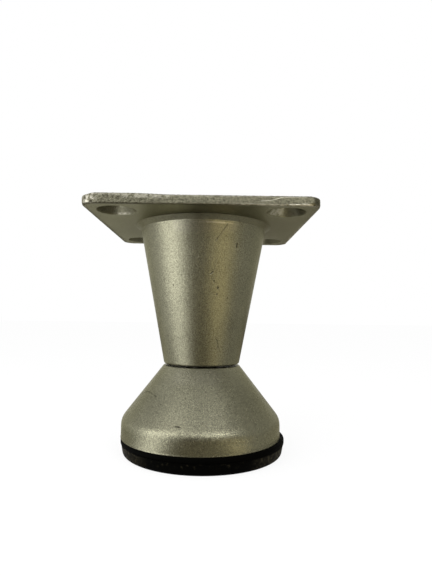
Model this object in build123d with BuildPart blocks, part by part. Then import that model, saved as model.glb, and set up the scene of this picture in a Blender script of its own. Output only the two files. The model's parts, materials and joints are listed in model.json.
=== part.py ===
from build123d import *
import os
from math import atan2, cos, sin

# Adjustable conical furniture leg: cast body with a square plate, flared foot that screws in, glide pad.
# Millimetres, +Z up, origin on the floor at the leg's axis.

os.makedirs("parts", exist_ok=True)

# Mounting plate
plate_side = 50.0
plate_thickness = 2.0
plate_corner_radius = 2.5
plate_edge_chamfer = 0.2

# Countersunk screw holes in the plate's corners
screw_spacing = 37.2
screw_bore_diameter = 5.2
countersink_diameter = 8.8
countersink_angle = 90.0

# Inverted cone under the plate, with its flared collar
cone_height = 34.75
cone_top_radius = 16.1
cone_bottom_radius = 9.46
cone_bottom_chamfer = 0.7
cone_wall = 2.5
collar_radius = 17.3
collar_height = 1.35

# Hollow and threaded boss inside the cone
boss_height = 14.5
bore_entry_chamfer = 0.8

# Flared foot
foot_height = 17.25
foot_top_radius = 9.58
foot_top_chamfer = 0.4
foot_rim_radius = 19.75
foot_rim_height = 4.3
foot_shoulder_radius = 4.0
foot_wall = 2.4
foot_boss_wall = 2.1
foot_boss_recess = 0.3
rib_count = 6
rib_thickness = 1.8

# Adjuster bolt
thread_diameter = 8.0
bolt_length = 30.0
bolt_head_flats = 13.0
bolt_head_height = 5.3
bolt_head_recess = 0.2
bolt_tip_chamfer = 0.6

# Glide pad
pad_height = 4.0
pad_bead_overhang = 0.5
pad_bead_height = 1.2
pad_body_inset = 0.35
pad_base_inset = 0.3
pad_base_chamfer = 0.5
pad_floor = 2.2
pad_skirt_height = 3.0
pad_skirt_wall = 1.6

# Clearances
seam_gap = 0.3
thread_clearance = 0.05
bolt_seat_clearance = 0.1
pad_clearance = 0.08
rib_clearance = 0.5

# Levels above the floor
bead_bottom = pad_height - pad_bead_height
foot_bottom = pad_height
foot_top = foot_bottom + foot_height
foot_shoulder = foot_bottom + foot_rim_height
foot_boss_bottom = foot_bottom + foot_boss_recess
rib_bottom = foot_bottom + pad_skirt_height + rib_clearance
bolt_head_seat = foot_boss_bottom + bolt_head_recess + bolt_head_height
cone_bottom = foot_top + seam_gap
plate_bottom = cone_bottom + cone_height
plate_top = plate_bottom + plate_thickness
collar_bottom = plate_bottom - collar_height
hollow_floor = cone_bottom + boss_height

# Slope of the cone and of the foot's flare, as angles from upright
cone_angle = atan2(cone_top_radius - cone_bottom_radius, cone_height)
flare_angle = atan2(foot_rim_radius - foot_top_radius, foot_top - foot_shoulder)

# Radii that follow from the driving dimensions
bolt_bore_radius = thread_diameter / 2 + thread_clearance
foot_boss_radius = bolt_head_flats / 3**0.5 + bolt_seat_clearance + foot_boss_wall
foot_rim_inside = foot_rim_radius - foot_wall
pad_bead_radius = foot_rim_radius + pad_bead_overhang
pad_body_radius = pad_bead_radius - pad_body_inset
pad_base_radius = pad_body_radius - pad_base_inset
pad_skirt_radius = foot_rim_inside - pad_clearance


def cone_radius(level):
    """Outer radius of the cone at a level."""
    share = (level - cone_bottom) / cone_height
    return cone_bottom_radius + share * (cone_top_radius - cone_bottom_radius)


def hollow_radius(level):
    """Radius of the hollow at a level, one wall thickness inside the cone."""
    return cone_radius(level) - cone_wall / cos(cone_angle)


def flare_inside(radius):
    """Level of the inside of the foot's flare at a radius, one wall thickness below the outside."""
    share = (radius - foot_top_radius) / (foot_rim_radius - foot_top_radius)
    return foot_top - share * (foot_top - foot_shoulder) - foot_wall / sin(flare_angle)


# Leg body: plate, collar, hollow cone and threaded boss, cast in one piece
with BuildPart() as leg_body:
    with BuildSketch(Plane.XY.offset(plate_bottom)):
        RectangleRounded(plate_side, plate_side, plate_corner_radius)
    extrude(amount=plate_thickness)
    chamfer(leg_body.faces().filter_by(Axis.Z).edges(), plate_edge_chamfer)
    with BuildSketch(Plane.XZ) as cone_profile:
        with BuildLine():
            Polyline(
                (0, cone_bottom),
                (cone_bottom_radius, cone_bottom),
                (cone_radius(collar_bottom), collar_bottom),
                (collar_radius, plate_bottom),
                (collar_radius, plate_bottom + plate_thickness / 2),
                (0, plate_bottom + plate_thickness / 2),
                close=True,
            )
        make_face()
        chamfer(cone_profile.vertices().group_by(Axis.Y)[0].sort_by(Axis.X)[-1], cone_bottom_chamfer)
    revolve(axis=Axis.Z)
    with BuildSketch(Plane.XZ):
        with BuildLine():
            Polyline(
                (0, hollow_floor),
                (hollow_radius(hollow_floor), hollow_floor),
                (hollow_radius(plate_top), plate_top),
                (0, plate_top),
                close=True,
            )
        make_face()
    revolve(axis=Axis.Z, mode=Mode.SUBTRACT)
    with Locations((0, 0, hollow_floor)):
        Hole(bolt_bore_radius)
    bore_entry = leg_body.edges().filter_by(GeomType.CIRCLE).group_by(Axis.Z)[0].sort_by(SortBy.RADIUS)[0]
    chamfer(bore_entry, bore_entry_chamfer)
    with Locations(Plane(origin=(0, 0, plate_bottom), z_dir=(0, 0, -1))):
        with GridLocations(screw_spacing, screw_spacing, 2, 2):
            CounterSinkHole(
                radius=screw_bore_diameter / 2,
                counter_sink_radius=countersink_diameter / 2,
                depth=plate_thickness,
                counter_sink_angle=countersink_angle,
            )
leg_body.part.label = "leg_body"
export_step(leg_body.part, "parts/leg_body.step")

# Core of the foot: the annular space between shell and boss, with slots left for the ribs
with BuildPart() as foot_core:
    with BuildSketch(Plane.XZ):
        with BuildLine():
            Polyline(
                (0, foot_bottom),
                (foot_rim_inside, foot_bottom),
                (foot_rim_inside, flare_inside(foot_rim_inside)),
                (foot_boss_radius, flare_inside(foot_boss_radius)),
                (foot_boss_radius, foot_boss_bottom),
                (0, foot_boss_bottom),
                close=True,
            )
        make_face()
    revolve(axis=Axis.Z)
    with BuildSketch(Plane.XY.offset(rib_bottom)):
        with PolarLocations(foot_rim_radius / 2, rib_count):
            Rectangle(foot_rim_radius, rib_thickness)
    extrude(amount=foot_top - rib_bottom, mode=Mode.SUBTRACT)

# Foot shell: straight flare, rounded shoulder and upright rim, cored out from below
with BuildPart() as foot_shell:
    with BuildSketch(Plane.XZ) as foot_profile:
        with BuildLine():
            Polyline(
                (0, foot_bottom),
                (foot_rim_radius, foot_bottom),
                (foot_rim_radius, foot_shoulder),
                (foot_top_radius, foot_top),
                (0, foot_top),
                close=True,
            )
        make_face()
        chamfer(foot_profile.vertices().group_by(Axis.Y)[-1].sort_by(Axis.X)[-1], foot_top_chamfer)
        fillet(foot_profile.vertices().group_by(Axis.X)[-1].sort_by(Axis.Y)[-1], foot_shoulder_radius)
    revolve(axis=Axis.Z)
    add(foot_core.part, mode=Mode.SUBTRACT)
    with Locations((0, 0, foot_top)):
        Hole(bolt_bore_radius)
    with BuildSketch(Plane.XY.offset(foot_boss_bottom)):
        RegularPolygon(bolt_head_flats / 2 + bolt_seat_clearance, 6, major_radius=False)
    extrude(amount=bolt_head_seat - foot_boss_bottom, mode=Mode.SUBTRACT)
foot_shell.part.label = "foot_shell"
export_step(foot_shell.part, "parts/foot_shell.step")

# Adjuster bolt: hexagonal head seated in the foot's boss, shank up into the body's threaded bore
with BuildPart() as adjuster_bolt:
    with BuildSketch(Plane.XY.offset(bolt_head_seat)):
        RegularPolygon(bolt_head_flats / 2, 6, major_radius=False)
    extrude(amount=-bolt_head_height)
    with BuildSketch(Plane.XY.offset(bolt_head_seat)):
        Circle(thread_diameter / 2)
    extrude(amount=bolt_length)
    chamfer(adjuster_bolt.edges().filter_by(GeomType.CIRCLE).sort_by(Axis.Z)[-1], bolt_tip_chamfer)
adjuster_bolt.part.label = "adjuster_bolt"
export_step(adjuster_bolt.part, "parts/adjuster_bolt.step")

# Glide pad: beaded disc under the foot's rim, with a skirt that plugs into the foot
with BuildPart() as glide_pad:
    with BuildSketch(Plane.XZ) as pad_profile:
        with BuildLine():
            Polyline(
                (0, 0),
                (pad_base_radius, 0),
                (pad_body_radius, bead_bottom),
                (pad_bead_radius, bead_bottom),
                (pad_bead_radius, pad_height),
                (pad_skirt_radius, pad_height),
                (pad_skirt_radius, pad_height + pad_skirt_height),
                (pad_skirt_radius - pad_skirt_wall, pad_height + pad_skirt_height),
                (pad_skirt_radius - pad_skirt_wall, pad_floor),
                (0, pad_floor),
                close=True,
            )
        make_face()
        chamfer(pad_profile.vertices().group_by(Axis.Y)[0].sort_by(Axis.X)[-1], pad_base_chamfer)
    revolve(axis=Axis.Z)
glide_pad.part.label = "glide_pad"
export_step(glide_pad.part, "parts/glide_pad.step")
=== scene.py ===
import json
from math import atan2, ceil, cos, degrees, pi, radians, sin, tan

import bmesh
import bpy
from mathutils import Matrix, Vector, noise


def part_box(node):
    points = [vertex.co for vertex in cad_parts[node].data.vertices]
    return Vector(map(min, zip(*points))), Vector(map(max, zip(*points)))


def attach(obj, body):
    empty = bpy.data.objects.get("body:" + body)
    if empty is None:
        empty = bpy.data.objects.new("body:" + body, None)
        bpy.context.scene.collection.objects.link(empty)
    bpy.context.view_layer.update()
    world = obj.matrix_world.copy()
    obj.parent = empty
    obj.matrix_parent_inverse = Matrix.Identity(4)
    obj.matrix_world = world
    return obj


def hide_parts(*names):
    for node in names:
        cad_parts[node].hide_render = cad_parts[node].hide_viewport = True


# Conical furniture leg: cast body with its plate, flared cast foot, threaded bolt and rubber glide pad.
# Metres, +Z up, origin on the floor at the leg's axis, the photograph's side at -Y.

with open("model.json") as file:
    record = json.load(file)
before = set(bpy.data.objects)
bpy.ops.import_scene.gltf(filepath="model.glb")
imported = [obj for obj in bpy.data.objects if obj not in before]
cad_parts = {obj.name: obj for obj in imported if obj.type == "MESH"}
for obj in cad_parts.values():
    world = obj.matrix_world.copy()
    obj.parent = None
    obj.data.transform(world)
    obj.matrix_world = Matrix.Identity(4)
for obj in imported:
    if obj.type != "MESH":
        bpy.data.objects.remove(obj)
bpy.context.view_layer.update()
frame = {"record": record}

MM = 0.001

# Sizes read from the solids and the record
body_low, body_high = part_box("leg_body")
foot_low, foot_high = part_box("foot_shell")
bolt_low, bolt_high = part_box("adjuster_bolt")
pad_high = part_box("glide_pad")[1]
plate_half = body_high.x
plate_top = body_high.z
cone_bottom = body_low.z
foot_top = foot_high.z
foot_bottom = foot_low.z
rim_radius = foot_high.x
head_bottom = bolt_low.z
bolt_tip = bolt_high.z
head_apothem = bolt_high.y
bead_radius = pad_high.x
skirt_top = pad_high.z
screws = next(m for m in frame["record"]["mounts"] if m["name"] == "plate_screws")["dims"]
screw_offset = screws["spacing_x_mm"] / 2 * MM
screw_bore_radius = screws["hole_r_mm"] * MM

# Plate
plate_thickness = 2.0 * MM
plate_corner_radius = 2.5 * MM
lower_arris = 0.18 * MM
upper_arris = 0.3 * MM
countersink_radius = 4.4 * MM
countersink_round = 0.1 * MM
plate_bottom = plate_top - plate_thickness

# Cone, collar and hollow
cone_top_radius = 16.1 * MM
cone_bottom_radius = 9.46 * MM
cone_bottom_round = 0.75 * MM
cone_wall = 2.5 * MM
collar_radius = 17.3 * MM
collar_height = 1.05 * MM
collar_fillet = 0.35 * MM
boss_height = 14.5 * MM
boss_round = 0.3 * MM
bore_radius = 4.05 * MM
bore_entry = 0.8 * MM
bore_round = 0.15 * MM
hollow_round = 2.0 * MM
mouth_chamfer = 0.4 * MM
mouth_round = 0.3 * MM
cone_height = plate_bottom - cone_bottom
collar_bottom = plate_bottom - collar_height
hollow_floor = cone_bottom + boss_height

# Foot
foot_top_radius = 9.58 * MM
foot_top_round = 0.3 * MM
rim_height = 4.3 * MM
rim_lip = 0.07 * MM
rim_lip_height = 0.34 * MM
rim_lip_round = 0.05 * MM
rim_inside_round = 0.15 * MM
shoulder_round = 4.0 * MM
foot_wall = 2.4 * MM
foot_boss_wall = 2.1 * MM
foot_boss_recess = 0.3 * MM
foot_boss_round = 0.2 * MM
core_round = 0.8 * MM
rib_count = 6
rib_thickness = 1.8 * MM
rib_clearance = 0.5 * MM
rib_bottom = skirt_top + rib_clearance
rim_inside = rim_radius - foot_wall
shoulder_level = foot_bottom + rim_height
flare_angle = atan2(rim_radius - foot_top_radius, foot_top - shoulder_level)

# Bolt
thread_radius = 4.0 * MM
thread_root = 3.35 * MM
thread_pitch = 1.25 * MM
plain_length = 2 * thread_pitch
head_height = 5.3 * MM
head_bevel = 0.4 * MM
head_end_share = 0.92
head_clearance = 0.1 * MM
tip_chamfer = 0.7 * MM
bolt_seat = head_bottom + head_height
foot_boss_radius = 2 * head_apothem / 3**0.5 + head_clearance + foot_boss_wall

# Pad
bead_height = 1.2 * MM
bead_lower_round = 0.25 * MM
bead_upper_round = 0.4 * MM
body_inset = 0.12 * MM
body_round = 0.12 * MM
base_inset = 0.5 * MM
base_round = 0.9 * MM
pad_floor = 2.2 * MM
pad_floor_round = 0.5 * MM
pad_middle = 2.0 * MM
pad_offset = 0.5 * MM
skirt_wall = 1.6 * MM
skirt_round = 0.3 * MM
skirt_root_round = 0.1 * MM
skirt_clearance = 0.08 * MM
skirt_radius = rim_inside - skirt_clearance
body_radius = bead_radius - body_inset
bead_bottom = foot_bottom - bead_height

# Fineness of the meshes
ROUND_STEPS = 192
HOLE_STEPS = 64
BOLT_STEPS = 96
ROWS_PER_PITCH = 16
CORNER_STEPS = 24
EDGE_SPACING = 0.15 * MM
ARC_STEP = radians(12)


def cone_radius(level):
    """Outer radius of the cone at a level."""
    share = (level - cone_bottom) / cone_height
    return cone_bottom_radius + share * (cone_top_radius - cone_bottom_radius)


def hollow_radius(level):
    """Radius of the hollow at a level."""
    slope = atan2(cone_top_radius - cone_bottom_radius, cone_height)
    return cone_radius(level) - cone_wall / cos(slope)


def flare_radius(level):
    """Outer radius of the foot's flare at a level."""
    share = (level - shoulder_level) / (foot_top - shoulder_level)
    return rim_radius - share * (rim_radius - foot_top_radius)


def flare_inside(radius):
    """Level of the inside of the foot's flare at a radius."""
    share = (radius - foot_top_radius) / (rim_radius - foot_top_radius)
    return foot_top - share * (foot_top - shoulder_level) - foot_wall / sin(flare_angle)


# Mesh helpers


def rounded(corners):
    """Points of a profile, from corners as (radius, level, rounding). The first and last are sharp."""
    points = []
    for i, (radius, level, rounding) in enumerate(corners):
        here = Vector((radius, level))
        if rounding == 0:
            points.append(here)
            continue
        before = (Vector(corners[i - 1][:2]) - here).normalized()
        after = (Vector(corners[i + 1][:2]) - here).normalized()
        half = before.angle(after) / 2
        centre = here + (before + after).normalized() * rounding / sin(half)
        spoke = here + before * rounding / tan(half) - centre
        last = here + after * rounding / tan(half) - centre
        sweep = atan2(spoke.x * last.y - spoke.y * last.x, spoke.dot(last))
        steps = max(3, ceil(abs(sweep) / ARC_STEP))
        points += [centre + Matrix.Rotation(sweep * k / steps, 2) @ spoke for k in range(steps + 1)]
    return points


def divided(points, longest):
    """The same profile with its long straight stretches divided."""
    result = points[:1]
    for start, end in zip(points, points[1:]):
        steps = max(1, ceil((end - start).length / longest - 1e-6))
        result += [start.lerp(end, k / steps) for k in range(1, steps + 1)]
    return result


def hexagon(apothem):
    """Radius of a hexagon, corners along X, as a function of the angle."""
    return lambda angle: apothem / cos(angle % (pi / 3) - pi / 6)


def ring(bm, radius, level, centre=(0, 0), steps=ROUND_STEPS):
    """A loop of vertices around an upright axis. The radius may be a function of the angle."""
    loop = []
    for k in range(steps):
        angle = 2 * pi * k / steps
        reach = radius(angle) if callable(radius) else radius
        x, y = centre[0] + reach * cos(angle), centre[1] + reach * sin(angle)
        loop.append(bm.verts.new((x, y, level)))
    return loop


def skin(bm, loops):
    """Quads between neighbouring loops of equal length."""
    for lower, upper in zip(loops, loops[1:]):
        count = len(lower)
        for k in range(count):
            bm.faces.new((lower[k], lower[(k + 1) % count], upper[(k + 1) % count], upper[k]))


def cap(bm, loop, level):
    """Closes a loop with a fan around a vertex on the axis."""
    pole = bm.verts.new((0, 0, level))
    for k in range(len(loop)):
        bm.faces.new((loop[k], loop[(k + 1) % len(loop)], pole))


def fill(bm, loops):
    """Closes a flat face whose outline and holes are the given loops."""
    edges = []
    for loop in loops:
        for k in range(len(loop)):
            pair = (loop[k], loop[(k + 1) % len(loop)])
            edges.append(bm.edges.get(pair) or bm.edges.new(pair))
    bmesh.ops.triangle_fill(bm, use_beauty=True, use_dissolve=False, edges=edges)


def to_object(bm, name, sharp_angle):
    """Makes an object of the mesh, shaded smooth except at edges sharper than the angle."""
    bmesh.ops.recalc_face_normals(bm, faces=bm.faces)
    mesh = bpy.data.meshes.new(name)
    bm.to_mesh(mesh)
    bm.free()
    mesh.shade_smooth()
    mesh.set_sharp_from_angle(angle=sharp_angle)
    piece = bpy.data.objects.new(name, mesh)
    bpy.context.scene.collection.objects.link(piece)
    return piece


def weighted(piece):
    """Keeps flat faces flat next to their rounded edges."""
    modifier = piece.modifiers.new("flat_faces", "WEIGHTED_NORMAL")
    modifier.keep_sharp = True
    modifier.weight = 80


# Cast body

plate_rim = 1.2 * MM
casting_roughness = 0.035 * MM
casting_grain = 0.36 * MM
casting_falloff = 0.7
casting_ratio = 2.0
casting_octaves = 4
flash_height = 0.24 * MM
corner_softness = 0.34 * MM
# Strength of the painted shade on the collar under the plate
collar_shade = 0.3


def plate_outline(inset):
    """Points and outward directions around the plate's rounded square, at an inset from its edge."""
    reach = plate_half - plate_corner_radius
    run_steps = round(2 * reach / EDGE_SPACING)
    outline = []
    for quarter in range(4):
        turn = Matrix.Rotation(quarter * pi / 2, 2)
        for k in range(run_steps):
            along = -reach + 2 * reach * k / run_steps
            outline.append((turn @ Vector((plate_half - inset, along)), turn @ Vector((1, 0))))
        for k in range(CORNER_STEPS):
            out = Vector((cos(pi / 2 * k / CORNER_STEPS), sin(pi / 2 * k / CORNER_STEPS)))
            place = Vector((reach, reach)) + out * (plate_corner_radius - inset)
            outline.append((turn @ place, turn @ out))
    return outline


def smooth_step(value, low, high):
    """0 below low, 1 above high, with a smooth rise between them."""
    share = min(1, max(0, (value - low) / (high - low)))
    return share * share * (3 - 2 * share)


def band(value, low, high, soft):
    """1 between low and high, with a smooth fall to 0 on both sides."""
    return smooth_step(value, low - soft, low) * (1 - smooth_step(value, high, high + soft))


def flash_share(across, front):
    """Share of the flash that stands on the plate's upper edge, most at the front left."""
    return front * smooth_step(-across, 0.2, 0.6) * (1 - smooth_step(-across, 0.86, 0.95))


def edge_wear_highlight_and_shade(across, front, upper, lower, upper_half):
    """How rubbed the plate's edge is, with painted highlights on its front-left corner and lower right
    arris, and its painted shade along the lower left arris, on the right corner and faintly over the face,
    from 0 to 1.
    """
    right = smooth_step(across, 0.1, 0.45)
    left = smooth_step(-across, 0.3, 0.6)
    left_corner = front * smooth_step(-across, 0.84, 0.9)
    right_corner = front * smooth_step(across, 0.91, 0.96)
    flash = front * band(across, -0.62, -0.28, 0.06) * upper_half
    rubbed_and_highlight = max(lower * right, 0.5 * upper, left_corner, 0.4 * flash)
    faint_tone = max(0.14 * right, 0.1 * left) * (1 - lower)
    edge_shade = max(0.9 * lower * left, 0.5 * right_corner, faint_tone)
    return rubbed_and_highlight, edge_shade


def plate_edge(bm, wear_and_highlight, coarse, painted_shade):
    """Loops around the plate's edge, from its underside to its top, uneven as the casting is."""
    profile = divided(rounded([
        (plate_rim, plate_bottom, 0),
        (0, plate_bottom, lower_arris),
        (0, plate_top, upper_arris),
        (plate_rim, plate_top, 0),
    ]), EDGE_SPACING)
    middle_level = (plate_bottom + plate_top) / 2
    loops = []
    for inset, level in profile:
        off_middle = abs(level - middle_level) / (plate_thickness / 2)
        at_edge = 1 - smooth_step(inset, 0.25 * plate_rim, plate_rim)
        upper = smooth_step(level, plate_top - 2 * upper_arris, plate_top)
        upper_half = smooth_step(level, middle_level, middle_level + 0.2 * plate_thickness)
        lower = 1 - smooth_step(level, plate_bottom, plate_bottom + 2 * lower_arris)
        loop = []
        for place, out in plate_outline(inset):
            at_corner = smooth_step((abs(place.x) + abs(place.y)) / plate_half, 1.88, 1.95)
            place = place - out * (corner_softness * at_corner * at_edge * off_middle**4)
            spot = Vector((place.x, place.y, level))
            grain = noise.fractal(spot / casting_grain, casting_falloff, casting_ratio, casting_octaves)
            pitted = grain * casting_roughness * at_edge

            # The place across as a share of the plate's half side, and how far to the front it is
            across = place.x / plate_half
            front = smooth_step(-place.y / plate_half, 0, 1)
            lift = (flash_height * flash_share(across, front) + pitted) * upper * at_edge
            vertex = bm.verts.new((place.x + out.x * pitted, place.y + out.y * pitted, level + lift))
            # Wear with painted highlights, and painted shade, on the edge
            rubbed_and_highlight, edge_shade = edge_wear_highlight_and_shade(across, front, upper, lower, upper_half)
            vertex[wear_and_highlight] = rubbed_and_highlight * at_edge
            vertex[coarse] = at_edge
            vertex[painted_shade] = edge_shade * at_edge
            loop.append(vertex)
        loops.append(loop)
    skin(bm, loops)
    return loops


def hole_highlight_and_shade(on_left, at_mouth, angle):
    """Painted highlight and painted shade on a countersink, from 0 to 1, at an angle around it in degrees.
    """
    if on_left:
        return at_mouth * band(angle, 62, 92, 12), 0.3 + 0.25 * band(angle, 105, 230, 15)
    return 0.6 * band(angle, 102, 140, 15), 0.5 - 0.5 * band(angle, 100, 250, 20)


def cast_body():
    """Plate, collar, cone, boss and hollow in one casting."""
    bm = bmesh.new()
    wear_and_highlight = bm.verts.layers.float.new("wear_and_highlight")
    coarse = bm.verts.layers.float.new("coarse")
    painted_shade = bm.verts.layers.float.new("painted_shade")

    # Collar, cone, boss, bore and hollow, as one strip from the plate's underside to its top,
    # with a ring just below the plate where the collar's painted shade starts
    lip = Vector((cone_radius(collar_bottom), collar_bottom))
    below_plate = Vector((collar_radius, plate_bottom)).lerp(lip, 0.1)
    strip = rounded([
        (collar_radius, plate_bottom, 0),
        (*below_plate, 0),
        (*lip, collar_fillet),
        (cone_bottom_radius, cone_bottom, cone_bottom_round),
        (bore_radius + bore_entry, cone_bottom, bore_round),
        (bore_radius, cone_bottom + bore_entry, bore_round),
        (bore_radius, hollow_floor, boss_round),
        (hollow_radius(hollow_floor), hollow_floor, hollow_round),
        (hollow_radius(plate_top), plate_top - mouth_chamfer, mouth_round),
        (hollow_radius(plate_top) + mouth_chamfer, plate_top, 0),
    ])
    cone_loops = [ring(bm, r, z) for r, z in strip]
    for loop, point in zip(cone_loops, strip):
        # Painted shade on the collar under the plate, stronger at the front
        if collar_bottom < point.y < plate_bottom:
            for vertex in loop:
                angle = degrees(atan2(vertex.co.x, -vertex.co.y))
                vertex[painted_shade] = collar_shade * (1 + band(angle, -20, -4, 8))
    skin(bm, cone_loops)
    side_loops = plate_edge(bm, wear_and_highlight, coarse, painted_shade)

    # Countersunk screw holes
    sink_depth = countersink_radius - screw_bore_radius
    hole_profile = divided(rounded([
        (countersink_radius, plate_bottom, 0),
        (screw_bore_radius, plate_bottom + sink_depth, countersink_round),
        (screw_bore_radius, plate_top, 0),
    ]), sink_depth / 4)
    below = [side_loops[0], cone_loops[0]]
    above = [side_loops[-1], cone_loops[-1]]
    for x in (-screw_offset, screw_offset):
        for y in (-screw_offset, screw_offset):
            loops = [ring(bm, r, z, (x, y), HOLE_STEPS) for r, z in hole_profile]
            # Painted highlights and painted shade on the countersinks' walls
            for depth, loop in enumerate(loops[1:-1]):
                for k, vertex in enumerate(loop):
                    vertex[wear_and_highlight], vertex[painted_shade] = hole_highlight_and_shade(x < 0, depth == 0, 360 * k / HOLE_STEPS)
            skin(bm, loops)
            below.append(loops[0])
            above.append(loops[-1])
    fill(bm, below)
    fill(bm, above)
    return to_object(bm, "cast_body", radians(32))


# Cast foot


def rib(bm, angle):
    """One rib between the foot's boss and its flare, reaching into both."""
    turn = Matrix.Rotation(angle, 3, "Z")
    inner = foot_boss_radius - foot_boss_wall / 2
    outer = rim_inside + foot_wall / 3
    outline = [(inner, rib_bottom), (outer, rib_bottom), (inner, foot_top - foot_wall)]
    faces = []
    for side in (-0.5, 0.5):
        faces.append([bm.verts.new(turn @ Vector((r, side * rib_thickness, z))) for r, z in outline])
    skin(bm, faces)
    for face in faces:
        bm.faces.new(face)


def cast_foot():
    """Flared foot, cored from below, with a boss for the bolt's head and ribs around it."""
    bm = bmesh.new()
    profile = rounded([
        (bore_radius, foot_top, 0),
        (foot_top_radius, foot_top, foot_top_round),
        (rim_radius, shoulder_level, shoulder_round),
        (rim_radius, foot_bottom + 1.15 * rim_lip_height, 0),
        (rim_radius, foot_bottom + rim_lip_height, 0),
        (rim_radius + rim_lip, foot_bottom + 0.3 * rim_lip_height, 0),
        (rim_radius + rim_lip, foot_bottom, rim_lip_round),
        (rim_inside, foot_bottom, rim_inside_round),
        (rim_inside, flare_inside(rim_inside), core_round),
        (foot_boss_radius, flare_inside(foot_boss_radius), core_round),
        (foot_boss_radius, foot_bottom + foot_boss_recess, foot_boss_round),
        (foot_boss_radius - foot_boss_wall / 3, foot_bottom + foot_boss_recess, 0),
    ])
    loops = [ring(bm, r, z) for r, z in profile]
    pocket = hexagon(head_apothem + head_clearance)
    loops.append(ring(bm, pocket, foot_bottom + foot_boss_recess))
    loops.append(ring(bm, pocket, bolt_seat))
    loops.append(ring(bm, bore_radius, bolt_seat))
    skin(bm, loops + loops[:1])
    sharp_angle = radians(35)
    foot = to_object(bm, "cast_foot", sharp_angle)

    # The ribs, joined to the shell
    ribs = bmesh.new()
    for k in range(rib_count):
        rib(ribs, 2 * pi * k / rib_count)
    rib_piece = to_object(ribs, "foot_ribs", sharp_angle)
    union = foot.modifiers.new("ribs", "BOOLEAN")
    union.operation = "UNION"
    union.object = rib_piece
    evaluated = foot.evaluated_get(bpy.context.evaluated_depsgraph_get())
    joined = bpy.data.meshes.new_from_object(evaluated)
    foot.modifiers.clear()
    foot.data = joined
    joined.name = "cast_foot"
    bpy.data.objects.remove(rib_piece)
    joined.shade_smooth()
    joined.set_sharp_from_angle(angle=sharp_angle)
    return foot


# Threaded bolt


def thread_profile(turns):
    """Radius of the thread at a place along its pitch: crest, flank, root, flank."""
    place = turns % 1
    crest, flank = 1 / 8, 5 / 16
    if place < crest:
        share = 0
    elif place < crest + flank:
        share = (place - crest) / flank
    elif place < 1 - flank:
        share = 1
    else:
        share = (1 - place) / flank
    return thread_radius - share * (thread_radius - thread_root)


def thread_reach(angle, level):
    """Radius of the threaded shank at an angle and a level, with the chamfer at its tip."""
    turns = (level - bolt_seat) / thread_pitch - angle / (2 * pi)
    limit = thread_radius - max(0, level - (bolt_tip - tip_chamfer))
    return min(limit, thread_profile(turns))


def threaded_bolt():
    """Bolt with a hexagonal head, a plain run under it and a thread up to its tip."""
    bm = bmesh.new()
    head = [
        (head_apothem * head_end_share, head_bottom),
        (head_apothem, head_bottom + head_bevel),
        (head_apothem, bolt_seat),
    ]
    loops = [ring(bm, hexagon(apothem), level, steps=BOLT_STEPS) for apothem, level in head]
    cap(bm, loops[0], head_bottom)
    plain_top = bolt_seat + plain_length
    loops += [ring(bm, thread_radius, level, steps=BOLT_STEPS) for level in (bolt_seat, plain_top)]
    rows = ceil((bolt_tip - plain_top) / thread_pitch * ROWS_PER_PITCH)
    for row in range(1, rows + 1):
        level = plain_top + (bolt_tip - plain_top) * row / rows
        loops.append(ring(bm, lambda angle: thread_reach(angle, level), level, steps=BOLT_STEPS))
    skin(bm, loops)
    cap(bm, loops[-1], bolt_tip)
    return to_object(bm, "threaded_bolt", radians(40))


# Glide pad


def glide_pad():
    """Pad with its bead, sitting a little to the right under the foot, and the skirt that plugs into it."""
    bm = bmesh.new()
    skirt_inside = skirt_radius - skirt_wall
    profile = rounded([
        (pad_middle, 0, 0),
        (body_radius - base_inset, 0, base_round),
        (body_radius, bead_bottom, body_round),
        (bead_radius, bead_bottom, bead_lower_round),
        (bead_radius, foot_bottom, bead_upper_round),
        (skirt_radius, foot_bottom, skirt_root_round),
        (skirt_radius, skirt_top, skirt_round),
        (skirt_inside, skirt_top, skirt_round),
        (skirt_inside, pad_floor, pad_floor_round),
        (pad_middle, pad_floor, 0),
    ])
    loops = []
    for radius, level in profile:
        outside = level < foot_bottom and radius > skirt_radius or radius > rim_radius
        loops.append(ring(bm, radius, level, (pad_offset if outside else 0, 0)))
    skin(bm, loops)
    cap(bm, loops[0], 0)
    cap(bm, loops[-1], pad_floor)
    return to_object(bm, "rubber_pad", radians(35))


# Materials


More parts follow.
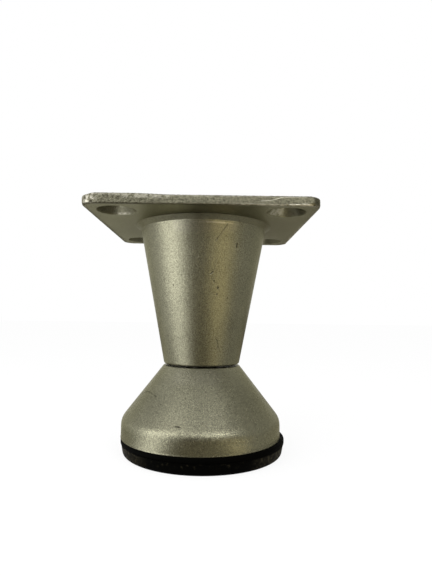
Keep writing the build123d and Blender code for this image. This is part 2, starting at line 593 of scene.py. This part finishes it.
class Graph:
    """A material's node tree, with short calls for the nodes that the finishes use."""

    def __init__(self, name):
        self.material = bpy.data.materials.new(name)
        self.material.use_nodes = True
        self.tree = self.material.node_tree
        self.tree.nodes.clear()
        self.output = self.node("ShaderNodeOutputMaterial")
        self.place = self.node("ShaderNodeTexCoord").outputs["Object"]

    def node(self, kind, inputs=(), **settings):
        made = self.tree.nodes.new(kind)
        for key, value in settings.items():
            setattr(made, key, value)
        for key, value in dict(inputs).items():
            self.put(made.inputs[key], value)
        return made

    def put(self, socket, value):
        if isinstance(value, bpy.types.NodeSocket):
            self.tree.links.new(value, socket)
        else:
            socket.default_value = value

    def grain(self, size, detail=2.0, rough=0.5):
        """Noise with features of about a given size."""
        inputs = {"Vector": self.place, "Scale": 1 / size, "Detail": detail, "Roughness": rough}
        return self.node("ShaderNodeTexNoise", inputs).outputs["Fac"]

    def span(self, value, low, high, to_low=0.0, to_high=1.0):
        """Maps a value's range to another, and stays inside it."""
        inputs = {"Value": value, "From Min": low, "From Max": high}
        inputs.update({"To Min": to_low, "To Max": to_high})
        return self.node("ShaderNodeMapRange", inputs).outputs["Result"]

    def math(self, operation, *values):
        made = self.node("ShaderNodeMath", operation=operation)
        for socket, value in zip(made.inputs, values):
            self.put(socket, value)
        return made.outputs[0]

    def vector(self, operation, *values, output="Vector"):
        made = self.node("ShaderNodeVectorMath", operation=operation)
        sockets = [made.inputs[0], made.inputs["Scale"] if operation == "SCALE" else made.inputs[1]]
        for socket, value in zip(sockets, values):
            self.put(socket, value)
        return made.outputs[output]

    def attribute(self, name):
        """A value stored on the mesh's vertices."""
        return self.node("ShaderNodeAttribute", attribute_name=name).outputs["Fac"]

    def stroke(self, place, start, end, width):
        """1 on the line between two points, 0 from a set distance on."""
        line = end - start
        offset = self.vector("SUBTRACT", place, start)
        share = self.vector("DOT_PRODUCT", offset, line / line.length_squared, output="Value")
        share = self.math("MINIMUM", self.math("MAXIMUM", share, 0.0), 1.0)
        nearest = self.vector("SCALE", line, share)
        distance = self.vector("DISTANCE", offset, nearest, output="Value")
        return self.span(distance, 0.4 * width, width, 1.0, 0.0)

    def mix(self, share, first, second):
        made = self.node("ShaderNodeMix", data_type="RGBA")
        self.put(made.inputs["Factor"], share)
        for name, value in (("A", first), ("B", second)):
            socket = next(s for s in made.inputs if s.name == name and s.type == "RGBA")
            self.put(socket, value)
        return next(s for s in made.outputs if s.type == "RGBA")

    def shader(self, **inputs):
        spaced = {key.replace("_", " "): value for key, value in inputs.items()}
        made = self.node("ShaderNodeBsdfPrincipled", spaced)
        self.tree.links.new(made.outputs[0], self.output.inputs["Surface"])
        return self.material


def on_surface(radius, angle, level):
    """A point on a round surface, by degrees from the photograph's side towards +X and a level in mm."""
    turn = radians(angle)
    reach = radius(level * MM)
    return Vector((reach * sin(turn), -reach * cos(turn), level * MM))


# Specks, chips and scratches: surface, angle and level of both ends, half width in mm, strength
WEAR = [
    (cone_radius, (33, 50.4), (33, 49.5), 0.24, 0.8),
    (cone_radius, (11, 43.7), (9, 43.2), 0.2, 0.85),
    (cone_radius, (12.5, 41.7), (12.5, 41.5), 0.2, 0.8),
    (cone_radius, (17, 40.2), (17, 39.9), 0.22, 0.9),
    (cone_radius, (16.5, 38.7), (16.5, 38.5), 0.18, 0.8),
    (cone_radius, (29, 38.0), (29, 37.7), 0.17, 0.6),
    (cone_radius, (-3.5, 47.3), (-3.5, 47.0), 0.14, 0.5),
    (cone_radius, (-30, 40.8), (-30, 40.5), 0.16, 0.5),
    (cone_radius, (19.5, 28.1), (21.8, 27.5), 0.1, 0.7),
    (cone_radius, (21.8, 27.5), (22.8, 26.1), 0.1, 0.7),
    (cone_radius, (22, 54.6), (12.5, 50.8), 0.15, 0.5),
    (flare_radius, (-15.5, 9.9), (-12.5, 9.8), 0.2, 0.8),
    (flare_radius, (-74, 14.4), (-66, 15.2), 0.16, 0.8),
    (flare_radius, (-66, 15.2), (-59, 15.4), 0.16, 0.8),
    (flare_radius, (-59, 15.4), (-43, 14.8), 0.16, 0.8),
    (flare_radius, (-12.5, 15.3), (-12.5, 15.1), 0.15, 0.6),
]


def on_plate_edge(across, level):
    """A point on the plate's front edge, both sizes in millimetres."""
    return Vector((across * MM, -plate_half, level * MM))


def along_ring(radius, level, half_width, stretches):
    """Strokes along a ring on a round surface, as stretches of start angle, end angle and strength; here
    they are painted highlights.
    """
    return [
        (on_surface(radius, start, level), on_surface(radius, end, level), half_width, strength)
        for start, end, strength in stretches
    ]


# A scratch and a painted highlight along the lower arris of the plate's front edge, a painted highlight as
# the bright line at the cone's top, and painted reflections as paler stretches at the cone's and the foot's
# top: both ends, half width in mm, strength
SCUFFS_AND_HIGHLIGHTS = [
    (on_plate_edge(12.3, 57.14), on_plate_edge(14.6, 57.34), 0.13, 0.6),
    (on_plate_edge(14.6, 57.34), on_plate_edge(15.8, 57.69), 0.13, 0.6),
    (on_plate_edge(15.8, 57.69), on_plate_edge(17.0, 58.1), 0.13, 0.6),
    (on_plate_edge(13.6, 56.38), on_plate_edge(18.2, 56.42), 0.14, 0.55),
    (on_plate_edge(18.2, 56.42), on_plate_edge(22.7, 56.5), 0.22, 1.0),
]
SCUFFS_AND_HIGHLIGHTS += along_ring(cone_radius, 54.7, 0.3, [
    (-9, -2, 0.25),
    (-2, 4, 0.4),
    (4, 9, 0.75),
    (9, 19, 0.95),
    (19, 26, 0.55),
    (26, 32, 0.2),
])
SCUFFS_AND_HIGHLIGHTS += along_ring(cone_radius, 54.3, 2.4, [(-19, 3, 0.15), (3, 25, 0.17)])
SCUFFS_AND_HIGHLIGHTS += along_ring(flare_radius, 19.6, 3.2, [(-22, -4, 0.12), (-4, 14, 0.09)])


def wear_marks(g):
    """How far the finish is chipped or scratched, from 0 to 1, with ragged outlines."""
    raggedness, ragged_grain = 0.3 * MM, 0.5 * MM
    ragged = g.node("ShaderNodeTexNoise", {"Vector": g.place, "Scale": 1 / ragged_grain}).outputs["Color"]
    shift = g.vector("SCALE", g.vector("SUBTRACT", ragged, (0.5, 0.5, 0.5)), raggedness)
    place = g.vector("ADD", g.place, shift)
    marks = None
    for radius, start, end, width, strength in WEAR:
        line = g.stroke(place, on_surface(radius, *start), on_surface(radius, *end), width * MM)
        line = g.math("MULTIPLY", line, strength)
        marks = g.math("MAXIMUM", marks, line) if marks else line
    return marks


def scuff_and_highlight_marks(g):
    """How much scratch and painted highlight lie on the finish, from 0 to 1."""
    marks = None
    for start, end, width, strength in SCUFFS_AND_HIGHLIGHTS:
        line = g.math("MULTIPLY", g.stroke(g.place, start, end, width * MM), strength)
        marks = g.math("MAXIMUM", marks, line) if marks else line
    return marks


# Colours of the casting: its finish, the rough edge, bare metal that also serves for painted highlights,
# painted shade and chips
FINISH_DARK = (0.084, 0.081, 0.057, 1)
FINISH_PALE = (0.246, 0.239, 0.167, 1)
FINISH_SHEEN = (0.76, 0.74, 0.6, 1)
ROUGH_DARK = (0.072, 0.068, 0.046, 1)
ROUGH_PALE = (0.148, 0.143, 0.1, 1)
PIT = (0.03, 0.027, 0.018, 1)
BARE_METAL_AND_HIGHLIGHT = (0.45, 0.43, 0.36, 1)
PAINTED_SHADE_COLOUR = (0.03, 0.026, 0.016, 1)
CHIP = (0.016, 0.014, 0.009, 1)


def satin_casting():
    """Satin metallic finish with a fine grain, a rough cast edge and wear, with painted highlights, painted
    shade and painted light towards the tops.
    """
    g = Graph("satin_casting")
    speckle = g.grain(0.28 * MM, detail=3.0, rough=0.7)
    peel = g.grain(1.6 * MM, detail=3.0)
    cloud = g.grain(11 * MM, detail=2.0)
    mottle = g.grain(0.42 * MM, detail=4.0, rough=0.65)
    coarse = g.attribute("coarse")
    # Bare metal where worn, with painted highlights on the plate's corner, arrises and countersinks and
    # along the cone's top
    rubbed_and_highlight = g.math("MULTIPLY", g.attribute("wear_and_highlight"), g.span(g.grain(0.8 * MM, detail=3.0), 0.4, 0.54))
    rubbed_and_highlight = g.math("MAXIMUM", rubbed_and_highlight, scuff_and_highlight_marks(g))
    marks = wear_marks(g)

    # Painted light: the finish is a little paler towards the cone's top and the foot's top, standing in for
    # how the light falls there
    painted_light_from = 14 * MM
    height = g.node("ShaderNodeSeparateXYZ", {"Vector": g.place}).outputs["Z"]
    on_foot = g.span(height, cone_bottom, foot_top)
    painted_light_foot = g.math("MULTIPLY", on_foot, g.span(height, painted_light_from, foot_top, 0.0, 0.16))
    painted_light_cone = g.span(height, cone_bottom, collar_bottom, -0.04, 0.12)
    painted_light_cone = g.math("MULTIPLY", painted_light_cone, g.span(height, collar_bottom, plate_bottom, 1.0, 0.0))
    painted_light_cone = g.math("MULTIPLY", painted_light_cone, g.math("SUBTRACT", 1.0, on_foot))

    tone = g.math("ADD", g.span(speckle, 0.31, 0.69), g.span(cloud, 0.3, 0.7, -0.1, 0.1))
    tone = g.math("ADD", tone, g.math("ADD", painted_light_foot, painted_light_cone))
    colour = g.mix(tone, FINISH_DARK, FINISH_PALE)
    pits = g.span(g.grain(0.35 * MM, detail=3.0, rough=0.6), 0.38, 0.5, 1.0, 0.0)
    rough = g.mix(g.span(mottle, 0.35, 0.65), ROUGH_DARK, ROUGH_PALE)
    rough = g.mix(g.math("MULTIPLY", pits, 0.7), rough, PIT)
    colour = g.mix(g.math("MULTIPLY", coarse, 0.9), colour, rough)
    colour = g.mix(g.math("MULTIPLY", rubbed_and_highlight, 0.85), colour, BARE_METAL_AND_HIGHLIGHT)
    # Painted shade under the collar, in the countersinks and along the plate's edge
    colour = g.mix(g.attribute("painted_shade"), colour, PAINTED_SHADE_COLOUR)
    colour = g.mix(marks, colour, CHIP)

    relief = g.math("ADD", speckle, g.math("MULTIPLY", peel, 0.1))
    relief = g.math("ADD", relief, g.math("MULTIPLY", coarse, mottle))
    relief = g.math("SUBTRACT", relief, marks)
    bump = g.node("ShaderNodeBump", {"Height": relief, "Strength": 1.0, "Distance": 0.058 * MM})
    gloss = g.math("MULTIPLY", on_foot, 0.03)
    return g.shader(
        Base_Color=colour,
        Metallic=0.88,
        Specular_Tint=FINISH_SHEEN,
        Roughness=g.math("SUBTRACT", g.span(peel, 0.3, 0.7, 0.28, 0.31), gloss),
        Normal=bump.outputs["Normal"],
    )


STEEL_DARK = (0.5, 0.49, 0.46, 1)
STEEL_PALE = (0.66, 0.65, 0.62, 1)


def plated_steel():
    """Bright plating with a faint mottle."""
    g = Graph("plated_steel")
    mottle = g.grain(0.8 * MM, detail=3.0)
    colour = g.mix(mottle, STEEL_DARK, STEEL_PALE)
    bump = g.node("ShaderNodeBump", {"Height": mottle, "Strength": 1.0, "Distance": 0.01 * MM})
    return g.shader(
        Base_Color=colour,
        Metallic=1.0,
        Roughness=g.span(mottle, 0.3, 0.7, 0.24, 0.36),
        Normal=bump.outputs["Normal"],
    )


RUBBER = (0.0007, 0.0007, 0.0005, 1)
DUST = (0.056, 0.048, 0.028, 1)


def black_rubber():
    """Matt black with some dust on its side."""
    g = Graph("black_rubber")
    grain = g.grain(0.25 * MM, detail=3.0, rough=0.6)
    patches = g.grain(5 * MM, detail=4.0, rough=0.6)
    place = g.node("ShaderNodeSeparateXYZ", {"Vector": g.place}).outputs
    sides = g.span(g.math("ABSOLUTE", place["X"]), 0.55 * rim_radius, rim_radius)

    # Dust below the bead: a thin film and flecks at both sides, a few specks all along
    spots = g.grain(0.75 * MM, detail=3.0, rough=0.65)
    faint_tone = g.math("MULTIPLY", sides, g.span(patches, 0.4, 0.7, 0.06, 0.3))
    flecks = g.math("MULTIPLY", sides, g.span(spots, 0.47, 0.6, 0.0, 0.55))
    high_up = g.span(place["Z"], 0.4 * bead_bottom, bead_bottom, 0.0, 0.3)
    specks = g.math("MULTIPLY", g.span(spots, 0.58, 0.66), high_up)
    dust = g.math("ADD", faint_tone, g.math("ADD", flecks, specks))
    dust = g.math("MULTIPLY", dust, g.span(place["Z"], 0.88 * bead_bottom, bead_bottom, 1.0, 0.0))
    colour = g.mix(dust, RUBBER, DUST)
    bump = g.node("ShaderNodeBump", {"Height": grain, "Strength": 1.0, "Distance": 0.02 * MM})
    return g.shader(
        Base_Color=colour,
        Roughness=g.span(patches, 0.3, 0.7, 0.5, 0.65),
        Specular_IOR_Level=0.01,
        Normal=bump.outputs["Normal"],
    )


# The pieces on their bodies

casting, steel, rubber = satin_casting(), plated_steel(), black_rubber()
body, foot, bolt, pad = cast_body(), cast_foot(), threaded_bolt(), glide_pad()
weighted(body)
for piece, node, rides_on, material, slot in (
    (body, "leg_body", "leg", casting, "satin_casting"),
    (foot, "foot_shell", "foot", casting, "satin_casting"),
    (bolt, "adjuster_bolt", "foot", steel, "plated_steel"),
    (pad, "glide_pad", "glide", rubber, "black_rubber"),
):
    piece.data.materials.clear()
    piece.data.materials.append(material)
    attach(piece, rides_on)
    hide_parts(node)


# Floor and surroundings

FLOOR_REACH = 3.0
FLOOR_GLOW = 0.86
WORLD_FILL = 1.0
WHITE = (1, 1, 1)
CARD_STEP = 6


def seen_directly(tree):
    """1 for rays from the camera, a reflection or a clear material, 0 off a matt surface."""
    path = tree.nodes.new("ShaderNodeLightPath")
    either = tree.nodes.new("ShaderNodeMath")
    tree.links.new(path.outputs["Is Camera Ray"], either.inputs[0])
    tree.links.new(path.outputs["Is Glossy Ray"], either.inputs[1])
    total = tree.nodes.new("ShaderNodeMath")
    total.use_clamp = True
    tree.links.new(either.outputs[0], total.inputs[0])
    tree.links.new(path.outputs["Is Transmission Ray"], total.inputs[1])
    return total.outputs[0]


def sheet_object(name, corners):
    """A flat sheet that belongs to the stage."""
    mesh = bpy.data.meshes.new(name)
    mesh.from_pydata(corners, [], [tuple(range(len(corners)))])
    made = bpy.data.objects.new(name, mesh)
    bpy.context.scene.collection.objects.link(made)
    return made


def floor_material():
    """A floor that looks as white as the photograph's background, with a faint shadow on it."""
    g = Graph("pale_floor")
    plain = g.node("ShaderNodeBsdfDiffuse", {"Color": (0.9, 0.9, 0.9, 1)})
    glow = g.node("ShaderNodeEmission", {"Color": (1, 1, 1, 1), "Strength": 1.0})
    share = g.math("MULTIPLY", seen_directly(g.tree), FLOOR_GLOW)
    mixed = g.node("ShaderNodeMixShader", {0: share, 1: plain.outputs[0], 2: glow.outputs[0]})
    g.tree.links.new(mixed.outputs[0], g.output.inputs["Surface"])
    return g.material


floor = sheet_object("floor", [
    (-FLOOR_REACH, -FLOOR_REACH, 0),
    (FLOOR_REACH, -FLOOR_REACH, 0),
    (FLOOR_REACH, FLOOR_REACH, 0),
    (-FLOOR_REACH, FLOOR_REACH, 0),
])
floor.data.materials.append(floor_material())

world = bpy.data.worlds.new("studio")
world.use_nodes = True
bpy.context.scene.world = world
backdrop = world.node_tree.nodes["Background"]
backdrop.inputs["Color"].default_value = (1, 1, 1, 1)
strength = world.node_tree.nodes.new("ShaderNodeMapRange")
strength.inputs["To Min"].default_value = WORLD_FILL
world.node_tree.links.new(seen_directly(world.node_tree), strength.inputs["Value"])
world.node_tree.links.new(strength.outputs["Result"], backdrop.inputs["Strength"])


def around(angle, distance, height):
    """A place at an angle from the photograph's side, in degrees towards +X."""
    turn = radians(angle)
    return Vector((distance * sin(turn), -distance * cos(turn), height))


def softbox(name, place, aim, size, brightness, colour):
    """An area lamp, a set number of times as bright as white paper."""
    lamp = bpy.data.lights.new(name, "AREA")
    lamp.shape = "RECTANGLE"
    lamp.size, lamp.size_y = size
    lamp.energy = brightness * pi * size[0] * size[1]
    lamp.color = colour
    made = bpy.data.objects.new(name, lamp)
    made.location = place
    made.rotation_euler = (aim - place).to_track_quat("-Z", "Y").to_euler()
    made.visible_camera = False
    bpy.context.scene.collection.objects.link(made)


def upright_softbox(name, angle, distance, width, levels, brightness, colour):
    """An upright softbox between two levels, facing the leg."""
    middle_level = (levels[0] + levels[1]) / 2
    size = (width, levels[1] - levels[0])
    place = around(angle, distance, middle_level)
    softbox(name, place, Vector((0, 0, middle_level)), size, brightness, colour)


def shade_card(name, corners, colour):
    """A card that only reflections show, as a photographer sets beside a metal object."""
    card = sheet_object(name, corners)
    g = Graph(name)
    glow = g.node("ShaderNodeEmission", {"Color": (*colour, 1), "Strength": 1.0})
    g.tree.links.new(glow.outputs[0], g.output.inputs["Surface"])
    card.data.materials.append(g.material)
    card.visible_camera = False
    card.visible_diffuse = False
    card.visible_shadow = False
    card.visible_transmission = False


def floor_card(name, angles, reaches, level, colour):
    """A card on the floor between two angles and two distances from the leg, in short straight steps."""
    steps = ceil((angles[1] - angles[0]) / CARD_STEP)
    turns = [angles[0] + (angles[1] - angles[0]) * k / steps for k in range(steps + 1)]
    inner = [around(turn, reaches[0], level) for turn in turns]
    outer = [around(turn, reaches[1], level) for turn in reversed(turns)]
    shade_card(name, inner + outer, colour)


def upright_card(name, angles, distance, levels, colour):
    """An upright card between two angles and two levels."""
    lower = [around(angle, distance, levels[0]) for angle in angles]
    upper = [around(angle, distance, levels[1]) for angle in reversed(angles)]
    shade_card(name, lower + upper, colour)


# Lamps, placed to give the highlights that the photograph shows
leg_middle = Vector((0, 0, 0.035))
upright_softbox("left_softbox", -58, 0.11, 0.076, (0, 0.058), 2.75, (0.98, 0.99, 1.0))
upright_softbox("left_top_softbox", -53, 0.112, 0.05, (0.038, 0.058), 2.3, WHITE)
softbox("upper_left_softbox", around(-53, 0.19, 0.315), leg_middle, (0.19, 0.09), 1.2, WHITE)
softbox("upper_right_softbox", around(38, 0.17, 0.31), leg_middle, (0.1, 0.08), 1.0, WHITE)
softbox("front_softbox", around(-10, 0.25, 0.168), leg_middle, (0.6, 0.09), 1.5, WHITE)
softbox("front_left_lamp", around(-37, 0.25, 0.182), leg_middle, (0.15, 0.12), 1.95, WHITE)
softbox("front_right_lamp", around(25, 0.25, 0.164), leg_middle, (0.14, 0.045), 8.0, WHITE)

# Levels of the cards on the floor: a higher one covers a lower one
table_level = 0.2 * MM
shade_level = 0.25 * MM
bounce_level = 0.3 * MM
dark_level = 0.4 * MM

# Cards, placed to give the dark and warm stretches between the highlights
floor_card("right_table", (12, 180), (0.15, 0.6), table_level, (0.22, 0.2, 0.16))
floor_card("right_near_table", (12, 180), (0.022, 0.15), table_level, (0.55, 0.53, 0.45))
floor_card("left_table", (180, 240), (0.15, 0.6), table_level, (0.37, 0.36, 0.31))
floor_card("left_near_table", (180, 240), (0.022, 0.15), table_level, (0.68, 0.67, 0.58))
floor_card("left_back_bounce", (205, 240), (0.085, 0.14), bounce_level, (0.95, 0.94, 0.84))
floor_card("left_shadow", (240, 284), (0.022, 0.075), table_level, (0.55, 0.54, 0.47))
floor_card("warm_table", (20, 59), (0.085, 0.6), bounce_level, (1.58, 1.34, 0.74))
floor_card("right_dark_table", (62, 90), (0.075, 0.16), shade_level, (0.3, 0.28, 0.23))
floor_card("dark_card", (-31, 16), (0.055, 0.16), dark_level, (0.25, 0.2, 0.08))
floor_card("dark_near_card", (-31, 13), (0.022, 0.055), dark_level, (0.21, 0.17, 0.08))
floor_card("near_shadow", (-37, 36), (0.022, 0.036), shade_level, (0.36, 0.32, 0.2))
floor_card("right_near_shadow", (13, 32), (0.036, 0.075), shade_level, (0.3, 0.26, 0.15))
floor_card("left_bounce", (-70, -38), (0.05, 0.11), bounce_level, (2.75, 2.75, 2.75))
floor_card("left_near_bounce", (-61, -44), (0.04, 0.05), bounce_level, (1.5, 1.5, 1.5))
floor_card("left_rim_bounce", (-62, -34), (0.026, 0.039), bounce_level, (3.2, 3.2, 3.2))
floor_card("right_bounce", (32, 47), (0.028, 0.055), bounce_level, (1.65, 1.45, 0.97))
upright_card("dark_flag", (-33, 20), 0.16, (0, 0.068), (0.12, 0.095, 0.055))
upright_card("right_flag", (13, 55), 0.5, (0, 0.14), (0.4, 0.35, 0.24))
upright_card("grey_flag", (60, 128), 0.2, (0, 0.35), (0.58, 0.57, 0.51))
upright_card("back_right_flag", (126, 173), 0.3, (0.03, 0.18), (0.68, 0.67, 0.61))
upright_card("back_left_flag", (187, 240), 0.3, (0.03, 0.18), (0.8, 0.8, 0.76))

# Camera, as fitted to the photograph, with its angles in radians

PHOTO_HEIGHT = 576
SENSOR = 36.0
focal_pixels = 446.4
camera_place = Vector((2.765, -115.0, 33.06)) * MM
camera_yaw, camera_lift, camera_roll = -0.0059, 0.0676, 0.0122

lens = bpy.data.cameras.new("camera")
lens.sensor_width = SENSOR
lens.lens = focal_pixels * SENSOR / PHOTO_HEIGHT
lens.clip_start = 1 * MM
camera = bpy.data.objects.new("camera", lens)
aim = Matrix.Rotation(camera_yaw, 4, "Z") @ Matrix.Rotation(pi / 2 + camera_lift, 4, "X")
aim = aim @ Matrix.Rotation(camera_roll, 4, "Z")
camera.matrix_world = Matrix.Translation(camera_place) @ aim
bpy.context.scene.collection.objects.link(camera)
bpy.context.scene.camera = camera
bpy.context.scene.view_settings.view_transform = "Standard"
